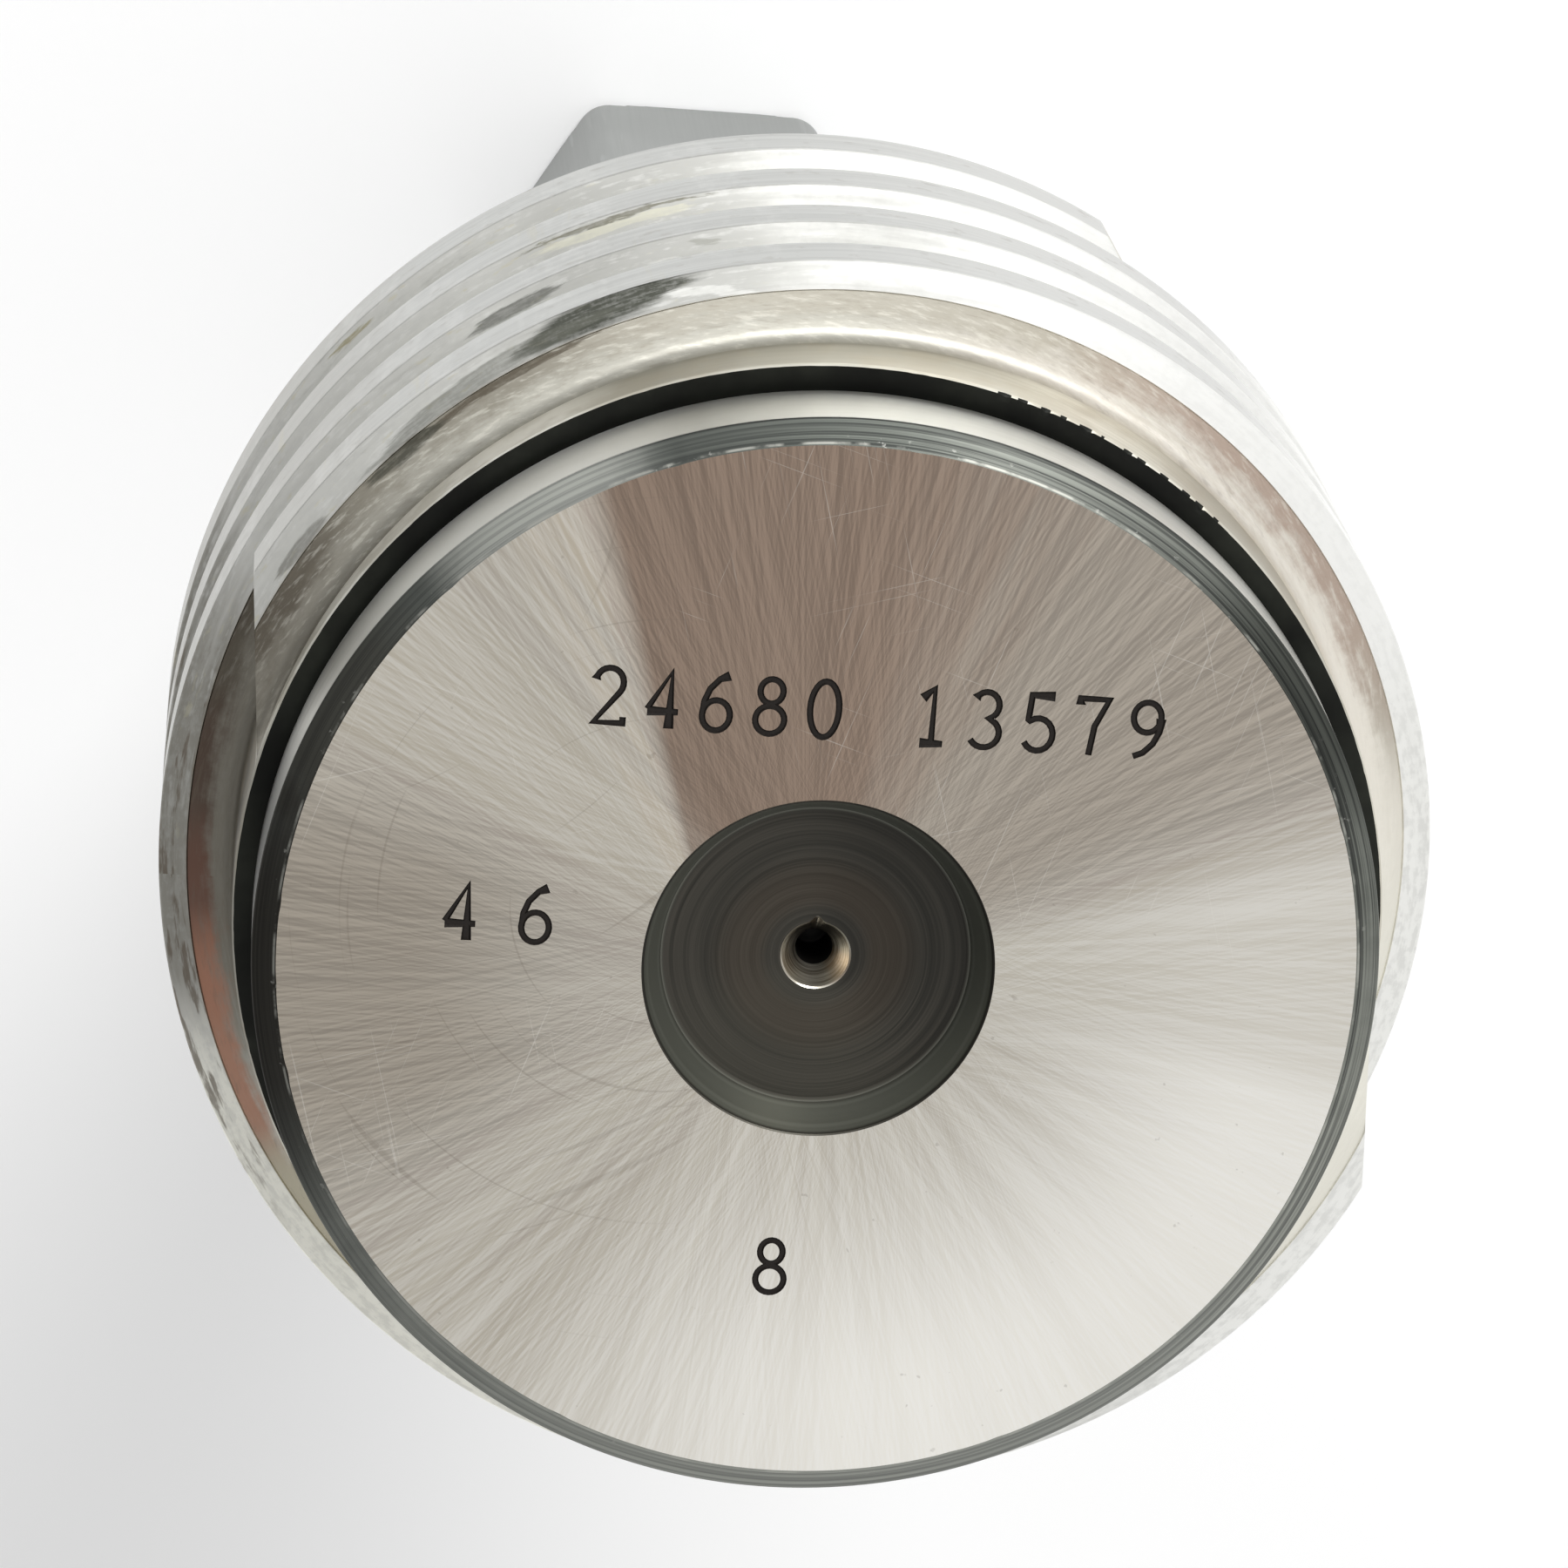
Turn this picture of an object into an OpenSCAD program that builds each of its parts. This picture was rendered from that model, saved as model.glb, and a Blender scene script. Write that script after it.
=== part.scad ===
// Thread plug gauge for a coarse two-start trapezoidal thread.
// It stands on the end of its handle, with the marked front face up.
// Depths are measured down from the front face, as on a turning drawing.

/* [Whole gauge] */
// Height from the handle's end to the front face
total_h = 166.5; // [150:0.5:200]

/* [Thread] */
// Crest diameter of the thread
crest_d = 77.6; // [76:0.1:80]
// Root diameter of the thread
root_d = 68.4; // [67.4:0.1:69.4]
// Lead: axial travel of one ridge in a full turn
lead = 20; // [18:0.5:22]
// Width of a ridge at its crest, along the axis
crest_w = 4.4; // [3.6:0.1:4.6]
// Angle of each flank from a plane across the axis
flank_angle = 15; // [10:1:17]
// Depth below the face of the first ridge's front crest edge, above the +Y side
first_crest_depth = 5.27; // [5:0.05:5.6]
// Distance from the axis of the flat that ends the first ridge at the front
start_flat_a = 33.9; // [32.4:0.1:34]
// Distance from the axis of the flat that ends the second ridge at the front
start_flat_b = 32.5; // [32.4:0.1:33.6]
// Distance from the axis of the two flats that end the ridges at the back
end_flat = 34; // [33:0.1:34]
// Direction that the first ridge's back flat faces, in degrees from +X
end_flat_angle = 28; // [20:1:40]

/* [Plug front] */
// Diameter of the bright front face, inside its chamfer
face_d = 63.2; // [60:0.1:64]
// Diameter of the ground pilot behind the face
pilot_d = 66; // [65:0.1:67]
// Depth of the chamfer between face and pilot
face_chamfer = 0.8; // [0.4:0.1:1.2]
// Depth at which the pilot ends and the relief groove starts
pilot_end = 7; // [6:0.1:7.2]
// Depth at which the relief groove ends at the thread's root cylinder
groove_end = 8.4; // [8:0.1:8.6]
// Diameter at the bottom of the relief groove
groove_d = 64; // [61:0.5:65]

/* [Centre recess] */
// Diameter of the recess at the face
recess_d = 20.6; // [16:0.1:26]
// Diameter of the recess at its floor
recess_floor_d = 18.3; // [14:0.1:20]
// Depth of the recess
recess_depth = 2.6; // [1:0.1:4]
// Mouth diameter of the centre hole
centre_d = 4.05; // [3:0.05:6]
// Diameter of the drilled part of the centre hole
centre_drill_d = 2.2; // [1.5:0.1:2.8]
// Depth of the drilled part below its countersink
centre_drill_depth = 4; // [2:0.5:8]

/* [Plug back and shank] */
// Depth of the plug's back face
plug_end = 56.5; // [56.5:0.5:62]
// Chamfer round the back face
back_chamfer = 1; // [0.5:0.1:2]
// Diameter of the shank that goes into the handle
shank_d = 18; // [14:0.5:20]
// Length of the shank
shank_l = 42; // [38:1:50]

/* [Handle] */
// Width of the hexagonal bar across its flats
handle_af = 30; // [28:0.5:34]
// Radius of the bar's six long edges
handle_edge_r = 2.3; // [0.5:0.1:3]
// Direction that one of the bar's flats faces, in degrees from +X
handle_angle = 85.2; // [60:0.1:120]
// How far the turned corners at the bar's ends run along the axis
handle_chamfer = 0.6; // [0.5:0.1:2]
// Gap round the shank in the handle's bore
shank_gap = 0.02; // [0.01:0.01:0.05]

/* [Locking pin] */
// Diameter of the cross pin
pin_d = 5; // [4:0.5:6]
// Distance of the pin's axis from the handle's front end
pin_from_front = 18; // [14:1:24]
// Gap round the pin in its hole
pin_gap = 0.02; // [0.01:0.01:0.05]

/* [Hidden] */
steel = [0.80, 0.80, 0.78];
handle_grey = [0.62, 0.66, 0.68];
pin_grey = [0.55, 0.56, 0.57];
starts = 2;
pitch = lead / starts;
crest_r = crest_d / 2;
root_r = root_d / 2;
slope = tan(flank_angle);
// The ridges run on inside the root cylinder, so that both join in one solid
foot_r = root_r - 0.5;
sunk_r = root_r - 0.15;
thread_step = 5;
countersink_angle = 60;
drill_point_angle = 118;
cut = 1;
handle_l = total_h - plug_end;
pin_z = handle_l - pin_from_front;
pin_l = handle_af - 0.4;
pin_chamfer = 0.4;
shank_chamfer = 1;
bore_spare = 2;
mouth_chamfer = 0.6;
centre_cone_h = (centre_d - centre_drill_d) / 2 / tan(countersink_angle / 2);
drill_point_h = centre_drill_d / 2 / tan(drill_point_angle / 2);
edge_steps = 8;
edge_centre_r = (handle_af / 2 - handle_edge_r) / cos(30);
rounded_corner_r = edge_centre_r + handle_edge_r;

// Height above the handle's end of a depth below the front face
function up(depth) = total_h - depth;

// Depth of a ridge's front crest edge at the angle phi; it falls by one lead in each turn clockwise
function crest_depth(ridge, phi) = first_crest_depth + pitch * ridge + lead * (90 - phi) / 360;

// Distance from the axis at which a flat cuts the ray at the angle phi, or beyond the crest
function flat_reach(flat, facing, phi) =
    let (off = phi - facing) abs(off) < 80 ? flat / cos(off) : 2 * crest_r;

// Angles of the sweep: the run up the front flat, the full ridge, and the run down the back flat
function evenly(from, to, n) = [for (i = [0 : n - 1]) from + (to - from) * i / n];
function sweep_angles(start_flat, start_facing, end_facing) =
    let (first = start_facing - acos(start_flat / sunk_r),
         full = start_facing - acos(start_flat / crest_r),
         ending = end_facing + acos(end_flat / crest_r),
         last = end_facing + acos(end_flat / sunk_r))
    concat(evenly(first, full, 6), evenly(full, ending, ceil((full - ending) / thread_step)),
           evenly(ending, last, 6), [last]);

// Corners of the ridge at one angle: front foot, front crest, back crest, back foot
function ridge_section(ridge, phi, top_r) =
    let (front = crest_depth(ridge, phi), back = front + crest_w)
    [for (corner = [[foot_r, front - (crest_r - foot_r) * slope], [top_r, front - (crest_r - top_r) * slope],
                    [top_r, back + (crest_r - top_r) * slope], [foot_r, back + (crest_r - foot_r) * slope]])
        [corner[0] * cos(phi), corner[0] * sin(phi), up(corner[1])]];

// One helical ridge, ended at each end by a flat parallel to the axis
module ridge(index, start_flat) {
    start_facing = 180 * index;
    end_facing = end_flat_angle + 180 * index - 720;
    angles = sweep_angles(start_flat, start_facing, end_facing);
    sections = [for (phi = angles)
        ridge_section(index, phi, min(crest_r, flat_reach(start_flat, start_facing, phi),
                                      flat_reach(end_flat, end_facing, phi)))];
    last = 4 * (len(angles) - 1);
    sides = [for (s = [0 : len(angles) - 2], c = [0 : 3])
        let (a = 4 * s + c, b = 4 * s + (c + 1) % 4)
        each [[a, b + 4, a + 4], [a, b, b + 4]]];
    ends = [[0, 2, 1], [0, 3, 2], [last, last + 1, last + 2], [last, last + 2, last + 3]];
    polyhedron(points = [for (section = sections) each section], faces = concat(sides, ends));
}

// Turned outline from the front face to the end of the shank
module turned_blank() {
    rotate_extrude($fn = 180)
        polygon([[0, up(0)], [face_d / 2, up(0)], [pilot_d / 2, up(face_chamfer)],
                 [pilot_d / 2, up(pilot_end)], [groove_d / 2, up(pilot_end)],
                 [groove_d / 2, up(groove_end)], [root_r, up(groove_end)],
                 [root_r, up(plug_end - back_chamfer)], [root_r - back_chamfer, up(plug_end)],
                 [shank_d / 2, up(plug_end)], [shank_d / 2, up(plug_end + shank_l - shank_chamfer)],
                 [shank_d / 2 - shank_chamfer, up(plug_end + shank_l)], [0, up(plug_end + shank_l)]]);
}

// Recess in the face with the centre hole in its floor
module front_recess() {
    floor_z = up(recess_depth);
    taper = (recess_d - recess_floor_d) / recess_depth;
    rotate_extrude($fn = 96)
        polygon([[0, floor_z], [recess_floor_d / 2, floor_z],
                 [recess_d / 2 + taper * cut / 2, up(-cut)], [0, up(-cut)]]);
    rotate_extrude($fn = 48)
        polygon([[0, floor_z - centre_cone_h - centre_drill_depth - drill_point_h],
                 [centre_drill_d / 2, floor_z - centre_cone_h - centre_drill_depth],
                 [centre_drill_d / 2, floor_z - centre_cone_h],
                 [centre_d / 2 + cut * tan(countersink_angle / 2), floor_z + cut], [0, floor_z + cut]]);
}

// Hexagonal section with rounded corners, one flat facing the handle's angle
module bar_section() {
    polygon([for (corner = [0 : 5], step = [0 : edge_steps])
        let (middle = handle_angle + 30 + 60 * corner, turn = middle - 30 + 60 * step / edge_steps)
        [edge_centre_r * cos(middle) + handle_edge_r * cos(turn),
         edge_centre_r * sin(middle) + handle_edge_r * sin(turn)]]);
}

// Ring that rounds off the six corners at one end of the bar, leaving a slightly domed turned edge
module corner_ring() {
    flat_r = rounded_corner_r - handle_chamfer / tan(30);
    dome_z = (rounded_corner_r ^ 2 - flat_r ^ 2 + handle_chamfer ^ 2) / 2 / handle_chamfer;
    difference() {
        translate([0, 0, -cut]) cylinder(r = rounded_corner_r + cut, h = handle_chamfer + cut, $fn = 120);
        translate([0, 0, dome_z]) sphere(r = sqrt(flat_r ^ 2 + dome_z ^ 2), $fn = 240);
    }
}

// Cross hole for the locking pin, through two flats
module cross_hole(d, l) {
    translate([0, 0, pin_z]) rotate([0, 90, handle_angle - 60]) cylinder(d = d, h = l, center = true, $fn = 64);
}

module gauge_plug() {
    color(steel)
    difference() {
        union() {
            turned_blank();
            ridge(0, start_flat_a);
            ridge(1, start_flat_b);
        }
        front_recess();
        cross_hole(pin_d + 2 * pin_gap, 2 * shank_d);
    }
}

module hex_handle() {
    bore_r = shank_d / 2 + shank_gap;
    color(handle_grey)
    difference() {
        linear_extrude(handle_l) bar_section();
        corner_ring();
        translate([0, 0, handle_l]) mirror([0, 0, 1]) corner_ring();
        translate([0, 0, handle_l - shank_l - bore_spare])
            cylinder(r = bore_r, h = shank_l + bore_spare + cut, $fn = 96);
        translate([0, 0, handle_l - mouth_chamfer])
            cylinder(r1 = bore_r, r2 = bore_r + mouth_chamfer + cut, h = mouth_chamfer + cut, $fn = 96);
        cross_hole(pin_d + 2 * pin_gap, 2 * handle_af);
    }
}

module locking_pin() {
    color(pin_grey)
    translate([0, 0, pin_z]) rotate([0, 90, handle_angle - 60])
        rotate_extrude($fn = 64)
            polygon([[0, -pin_l / 2], [pin_d / 2 - pin_chamfer, -pin_l / 2], [pin_d / 2, pin_chamfer - pin_l / 2],
                     [pin_d / 2, pin_l / 2 - pin_chamfer], [pin_d / 2 - pin_chamfer, pin_l / 2], [0, pin_l / 2]]);
}

gauge_plug();
hex_handle();
locking_pin();
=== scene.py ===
import math
import random

import bmesh
import bpy
from mathutils import Matrix, Vector


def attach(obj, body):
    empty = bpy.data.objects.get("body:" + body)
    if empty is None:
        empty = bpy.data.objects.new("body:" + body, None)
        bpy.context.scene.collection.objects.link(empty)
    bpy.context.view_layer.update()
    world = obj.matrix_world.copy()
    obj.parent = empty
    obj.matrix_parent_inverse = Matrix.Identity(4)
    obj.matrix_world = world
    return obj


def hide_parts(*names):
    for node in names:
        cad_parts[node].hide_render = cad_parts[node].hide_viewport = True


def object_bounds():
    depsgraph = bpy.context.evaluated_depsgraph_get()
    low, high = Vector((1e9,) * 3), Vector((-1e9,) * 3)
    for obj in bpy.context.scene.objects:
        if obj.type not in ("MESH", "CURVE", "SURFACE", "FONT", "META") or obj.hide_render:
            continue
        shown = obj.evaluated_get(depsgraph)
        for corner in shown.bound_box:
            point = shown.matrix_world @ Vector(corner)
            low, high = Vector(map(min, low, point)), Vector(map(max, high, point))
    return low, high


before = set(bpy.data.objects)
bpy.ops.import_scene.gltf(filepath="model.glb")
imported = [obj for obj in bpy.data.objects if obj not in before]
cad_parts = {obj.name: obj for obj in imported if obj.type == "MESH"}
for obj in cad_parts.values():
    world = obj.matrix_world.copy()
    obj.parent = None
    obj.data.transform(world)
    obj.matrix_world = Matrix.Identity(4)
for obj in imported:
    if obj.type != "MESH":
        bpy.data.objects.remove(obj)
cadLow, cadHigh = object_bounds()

# Thread plug gauge, dressed for a soft studio shot from above. Sizes are in millimetres,
# depths run down from the front face, and each mesh is made metric at the end.
mm = 0.001
gaugeHeight = round(cadHigh[2] / mm, 2)
tiny = dict(axis=1e-6, twin=2e-4, sliver=1e-4, turn=1e-3)      # below these, a size counts as nothing


def unit(degrees):
    # The cosine and sine of an angle
    turn = math.radians(degrees)
    return math.cos(turn), math.sin(turn)


class Wire:
    # Wraps a node's output, so that shader maths reads as plain expressions
    def __init__(self, finish, socket):
        self.finish, self.socket = finish, socket

    def other(self, output):
        return Wire(self.finish, self.socket.node.outputs[output])

    def __add__(self, other):
        return self.finish.calc("ADD", self, other)

    def __radd__(self, other):
        return self.finish.calc("ADD", other, self)

    def __sub__(self, other):
        return self.finish.calc("SUBTRACT", self, other)

    def __rsub__(self, other):
        return self.finish.calc("SUBTRACT", other, self)

    def __mul__(self, other):
        return self.finish.calc("MULTIPLY", self, other)

    def __rmul__(self, other):
        return self.finish.calc("MULTIPLY", other, self)

    def __truediv__(self, other):
        return self.finish.calc("DIVIDE", self, other)

    def __rtruediv__(self, other):
        return self.finish.calc("DIVIDE", other, self)

    def __pow__(self, other):
        return self.finish.calc("POWER", self, other)


class Finish:
    # One node tree: a procedural material built from the place on the gauge, or the room's light
    def __init__(self, name, tree=None):
        if tree is None:
            self.material = bpy.data.materials.new(name)
            self.material.use_nodes = True
            tree = self.material.node_tree
        self.tree = tree
        self.tree.nodes.clear()

    def node(self, kind, settings=None, sockets=None, output=0):
        made = self.tree.nodes.new("ShaderNode" + kind)
        for key, value in (settings or {}).items():
            setattr(made, key, value)
        for key, value in (sockets or {}).items():
            if isinstance(value, Wire):
                self.tree.links.new(value.socket, made.inputs[key])
            else:
                made.inputs[key].default_value = value
        return Wire(self, made.outputs[output]) if made.outputs else None

    def calc(self, operation, *values, clamp=False):
        return self.node("Math", {"operation": operation, "use_clamp": clamp}, dict(enumerate(values)))

    def place(self):
        # Place in millimetres, with the distance and direction from the axis
        metres = self.node("TexCoord", output="Object")
        self.at = self.node("VectorMath", {"operation": "SCALE"}, {0: metres, "Scale": 1 / mm})
        self.x = self.node("SeparateXYZ", None, {0: self.at})
        self.y, self.z = self.x.other(1), self.x.other(2)
        self.depth = gaugeHeight - self.z
        self.r = (self.x * self.x + self.y * self.y + 0.0001) ** 0.5
        self.ux, self.uy = self.x / self.r, self.y / self.r
        self.angle = self.calc("ARCTAN2", self.y, self.x) * (180 / math.pi)
        return self

    def vector(self, x, y, z):
        return self.node("CombineXYZ", None, {0: x, 1: y, 2: z})

    def noise(self, vector, scale=1.0, detail=3.0, rough=0.55):
        return self.node("TexNoise", None, {"Vector": vector, "Scale": scale, "Detail": detail,
                                            "Roughness": rough})

    def step(self, value, low, high, start=0.0, end=1.0):
        return self.node("MapRange", {"interpolation_type": "SMOOTHSTEP"},
                         {0: value, 1: low, 2: high, 3: start, 4: end})

    def mix(self, factor, a, b, blend="MIX"):
        # Each colour is a wire, or red, green and blue as they are read off a screen
        a, b = (paint(*colour) if isinstance(colour, tuple) else colour for colour in (a, b))
        return self.node("Mix", {"data_type": "RGBA", "blend_type": blend}, {0: factor, 6: a, 7: b}, 2)

    def turned(self, miss):
        # Direction from the axis, turned so that its rays pass the axis at that distance
        s = miss / self.r
        c = (1 - s * s) ** 0.5
        return self.ux * c + self.uy * s, self.uy * c - self.ux * s

    def sector(self, angle, width, core=0.0, miss=None):
        # 1 towards that angle, out to core degrees off it, fading to 0 at width degrees off it
        c, s = unit(angle)
        ux, uy = self.turned(miss) if miss else (self.ux, self.uy)
        return self.step(ux * c + uy * s, unit(width)[0], unit(core)[0])

    def around(self, colour, zone, waver=0.0):
        # Lays a zone's tones over the colour, mostly painted light and shade by direction; waver makes their
        # edges uneven
        for angle, width, core, tone, strength in tones[zone]:
            spread = self.sector(angle, width, core)
            mask = self.calc("MULTIPLY", spread + waver * spread * (1 - spread), strength, clamp=True)
            colour = self.mix(mask, colour, tone)
        return colour

    def linesOver(self, value, across, along, detail=4, rough=0.55):
        # Lines that change quickly with one value and slowly from side to side
        place = self.vector(self.x * along, self.y * along, value * across)
        return self.noise(place, detail=detail, rough=rough)

    def ringLines(self, across):
        # Fine lines left by turning or grinding, round a cylinder
        return self.linesOver(self.z, across, 0.12)

    def faceRings(self, across, along=0.05):
        # The same on a surface that lies across the axis
        return self.linesOver(self.r, across, along)

    def helixLines(self, across, along=0.06):
        # Streaks that follow the thread, with no seam at any angle
        turn = self.depth * (2 * math.pi / thread["lead"])
        c, s = self.calc("COSINE", turn), self.calc("SINE", turn)
        k = across * thread["lead"] / (2 * math.pi)
        return self.noise(self.vector((self.ux * c - self.uy * s) * k + self.x * along,
                                      (self.uy * c + self.ux * s) * k + self.y * along,
                                      self.z * along), detail=4)

    def radialLines(self, miss, across, along):
        # Straight lines that pass the axis at a distance, as a lap leaves them
        ux, uy = self.turned(miss)
        return self.noise(self.vector(ux * across, uy * across, self.r * along), rough=0.6)

    def scratches(self, directions, across, along, level):
        # Thin straight scratches, in a few directions
        total = None
        for i, degrees in enumerate(directions):
            c, s = unit(degrees)
            lines = self.noise(self.vector((self.x * c + self.y * s) * along,
                                           (self.y * c - self.x * s) * across,
                                           self.z * along + 7.3 * i), detail=1, rough=0.4)
            mask = self.step(lines, level, level + 0.05)
            total = mask if total is None else self.calc("MAXIMUM", total, mask)
        return total

    def swirls(self, centreX, centreY, across, level):
        # Long curved scratches round a point beside the axis
        dx, dy = self.x - centreX, self.y - centreY
        far = (dx * dx + dy * dy) ** 0.5
        return self.step(self.linesOver(far, across, 0.05, 1, 0.4), level, level + 0.05)

    def wisps(self, along, across):
        # Streaks that follow the thread over a flank
        place = self.vector(self.angle * along, self.r * across, self.z * 0.05)
        return self.noise(place, detail=4, rough=0.6)

    def smear(self, count, start, end, halfWidth, frayed):
        # Lens-shaped mark on the front flank of one pass of the thread, between two (angle, radius)
        share = (self.angle - start[0]) / (end[0] - start[0])
        middle = start[1] + share * (end[1] - start[1])
        off = self.calc("ABSOLUTE", frayed - middle) / halfWidth
        lens = self.step(4 * share * (1 - share) - off, -0.05, 0.45)
        edge = thread["firstDepth"] + thread["lead"] * (count / 2 + (90 - self.angle) / 360)
        behind = self.calc("ABSOLUTE", self.depth - edge + thread["flankHalf"])
        return lens * (1 - self.step(behind, 1.6, 2.0))

    def finished(self, colour, roughness, metallic, height, bump, distance, **constants):
        # Closes the material; the constants go straight onto the shader
        normal = self.node("Bump", None, {"Height": height, "Strength": bump, "Distance": distance * mm})
        sockets = {"Base Color": colour, "Roughness": roughness, "Metallic": metallic, "Normal": normal}
        sockets.update({key.replace("_", " "): value for key, value in constants.items()})
        self.node("OutputMaterial", None, {"Surface": self.node("BsdfPrincipled", None, sockets)})
        return self.material


def paint(red, green, blue):
    # A colour as it is read off a screen, 0 to 255, made linear
    def linear(value):
        value /= 255
        return value / 12.92 if value <= 0.04045 else ((value + 0.055) / 1.055) ** 2.4
    return (linear(red), linear(green), linear(blue), 1.0)


flankAngle = 15
thread = dict(crest=38.76, root=34.2, lead=20.0, crestWidth=4.4, slope=math.tan(math.radians(flankAngle)),
              firstDepth=5.27, startFlats=(33.9, 32.5), endFlat=34.0, endFlatAngle=28.0, turns=2,
              flatFrom=0.15, groundFrom=37.0, relief=0.12, fillet=1.0, edgeBreak=0.07, columnStep=1.25,
              flankHalf=0.6)
plug = dict(face=31.6, pilot=33.0, chamferDepth=0.8, pilotEnd=7.0, grooveEnd=8.4, groove=32.0,
            grooveCorner=0.25, rootLip=0.1, recess=10.3, recessFloor=9.15, recessDepth=2.6, cone=2.025,
            coneHalfAngle=30, drill=1.1, drillDepth=4.0, drillPoint=0.66, backDepth=56.5, backChamfer=1.0,
            shank=9.0, shankLength=42.0, shankChamfer=1, crossHole=2.52, crossCut=30, seam=-90.0,
            closestColumns=0.12)
tear = dict(start=44.0, end=72.0, size=0.08, elsewhere=0.02, darkFrom=0.004, step=0.35, steps=80)
nick = dict(angle=87.0, spread=8.0, size=0.34)      # small notch in the rim of the centre hole

zones = ["face", "chamfer", "pilot", "groove", "root", "lowerFlank", "groundFlank", "crest", "flat",
         "recess", "cone", "drill", "back", "shank", "engraving"]
zoneIndex = {name: i for i, name in enumerate(zones)}

# Tones laid over each surface by direction, mostly painted light and shade, a few real stains such as the
# rust: angle, width and core in degrees, colour, strength
tones = dict(
    face=[(150, 22, 0, (206, 201, 191), 0.6), (45, 40, 8, (171, 162, 151), 0.92),
          (-3, 16, 0, (212, 208, 199), 0.6)],
    chamfer=[(-75, 105, 30, (152, 154, 149), 0.85), (62, 26, 0, (97, 99, 96), 0.8),
             (92, 22, 0, (72, 75, 72), 0.8), (120, 15, 0, (176, 178, 173), 0.8),
             (30, 18, 0, (56, 58, 55), 0.8), (150, 16, 0, (66, 65, 60), 0.8),
             (180, 30, 0, (38, 34, 30), 0.85)],
    pilot=[(88, 28, 8, (160, 160, 154), 0.8), (125, 24, 9, (254, 254, 249), 1.0),
           (20, 22, 5, (136, 134, 126), 0.7), (176, 24, 6, (60, 60, 56), 0.9)],
    root=[(34, 22, 3, (160, 156, 144), 0.75), (90, 29, 9, (150, 147, 137), 0.8),
          (132, 25, 11, (253, 251, 244), 1.0), (178, 24, 6, (60, 56, 48), 0.9)],
    lowerFlank=[(38, 30, 8, (168, 147, 134), 0.85), (92, 30, 8, (172, 168, 157), 0.85),
                (128, 26, 5, (134, 130, 119), 0.9), (157, 24, 6, (82, 75, 65), 0.92),
                (173, 14, 4, (84, 66, 57), 0.9)],
    rust=[(185, 13, 3, (116, 82, 70), 0.9), (197, 15, 5, (188, 136, 112), 0.88),
          (219, 14, 6, (204, 197, 174), 0.85)],
    groundFlank=[(122, 36, 22, (200, 200, 195), 0.92), (104, 15, 4, (176, 176, 172), 0.75),
                 (174, 27, 9, (136, 133, 124), 0.85),
                 (225, 36, 20, (253, 252, 241), 0.95), (-12, 62, 38, (246, 246, 242), 0.85),
                 (46, 36, 20, (246, 246, 243), 0.88)],
    crest=[(52, 42, 0, (212, 212, 209), 0.7), (152, 30, 0, (176, 174, 167), 0.6),
           (0, 50, 28, (250, 250, 246), 0.85)],
    cream=[(104, 50, 18, (170, 168, 159), 0.88), (-35, 80, 50, (246, 244, 234), 0.85),
           (168, 46, 12, (112, 107, 96), 0.85), (38, 50, 10, (186, 170, 159), 0.3)],
    recess=[(22, 80, 20, (40, 39, 36), 0.5), (250, 70, 20, (78, 76, 68), 0.4)],
    cone=[(90, 80, 0, (52, 48, 42), 0.8), (-30, 40, 0, (170, 142, 112), 0.5)])

# Marks on the thread, most of them rubbed smears and one a painted shadow beside a small ridge: pass, (angle,
# radius) at both ends, half width, colour, strength
flankMarksAndShadow = [
    (1, (98.0, 38.50), (118.0, 37.6), 1.10, (70, 72, 64), 0.95),
    (1, (104.0, 37.90), (136.0, 37.3), 0.60, (104, 105, 97), 0.60),
    (1, (107.0, 36.90), (131.0, 36.7), 0.36, (80, 72, 60), 0.80),
    (2, (110.5, 38.00), (122.0, 37.8), 0.46, (96, 97, 91), 0.75),
    (1, (124.5, 36.70), (135.0, 36.8), 0.55, (70, 70, 62), 0.85),
    (1, (138.5, 37.25), (147.0, 37.6), 0.50, (104, 102, 94), 0.60),
    (3, (95.0, 38.62), (116.0, 38.3), 0.22, (112, 110, 94), 0.80),
    (3, (97.0, 38.10), (115.0, 37.9), 0.34, (214, 212, 192), 0.60),
    (4, (130.8, 38.30), (137.2, 38.4), 0.34, (150, 142, 108), 0.80),
    # Painted shadow beside a small ridge on the second pass
    (2, (96.3, 38.00), (99.8, 38.3), 0.35, (150, 150, 142), 0.60),
    (1, (93.5, 37.10), (103.5, 37.9), 0.30, (240, 240, 236), 0.45)]


class Column:
    # One line of labelled points at one angle, from the front axis round to the back axis
    def __init__(self, angle):
        self.angle, self.points = angle, []

    def add(self, label, radius, depth, zone):
        self.points.append((label, radius, depth, zoneIndex.get(zone, zone)))


def linked(name, mesh):
    piece = bpy.data.objects.new(name, mesh)
    bpy.context.scene.collection.objects.link(piece)
    return piece


def meshFrom(bm, name):
    mesh = bpy.data.meshes.new(name)
    bm.to_mesh(mesh)
    bm.free()
    return mesh


def columnRows(bm, columns):
    # Makes each column's vertices; those on the axis are shared
    poles, rows = {}, []
    for column in columns:
        c, s = unit(column.angle)
        row = []
        for label, radius, depth, zone in column.points:
            height = gaugeHeight - depth
            if radius > tiny["axis"]:
                vert = bm.verts.new((radius * c, radius * s, height))
            else:
                vert = poles.get(label) or poles.setdefault(label, bm.verts.new((0, 0, height)))
            row.append((label, vert, zone))
        rows.append(row)
    return rows


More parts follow.
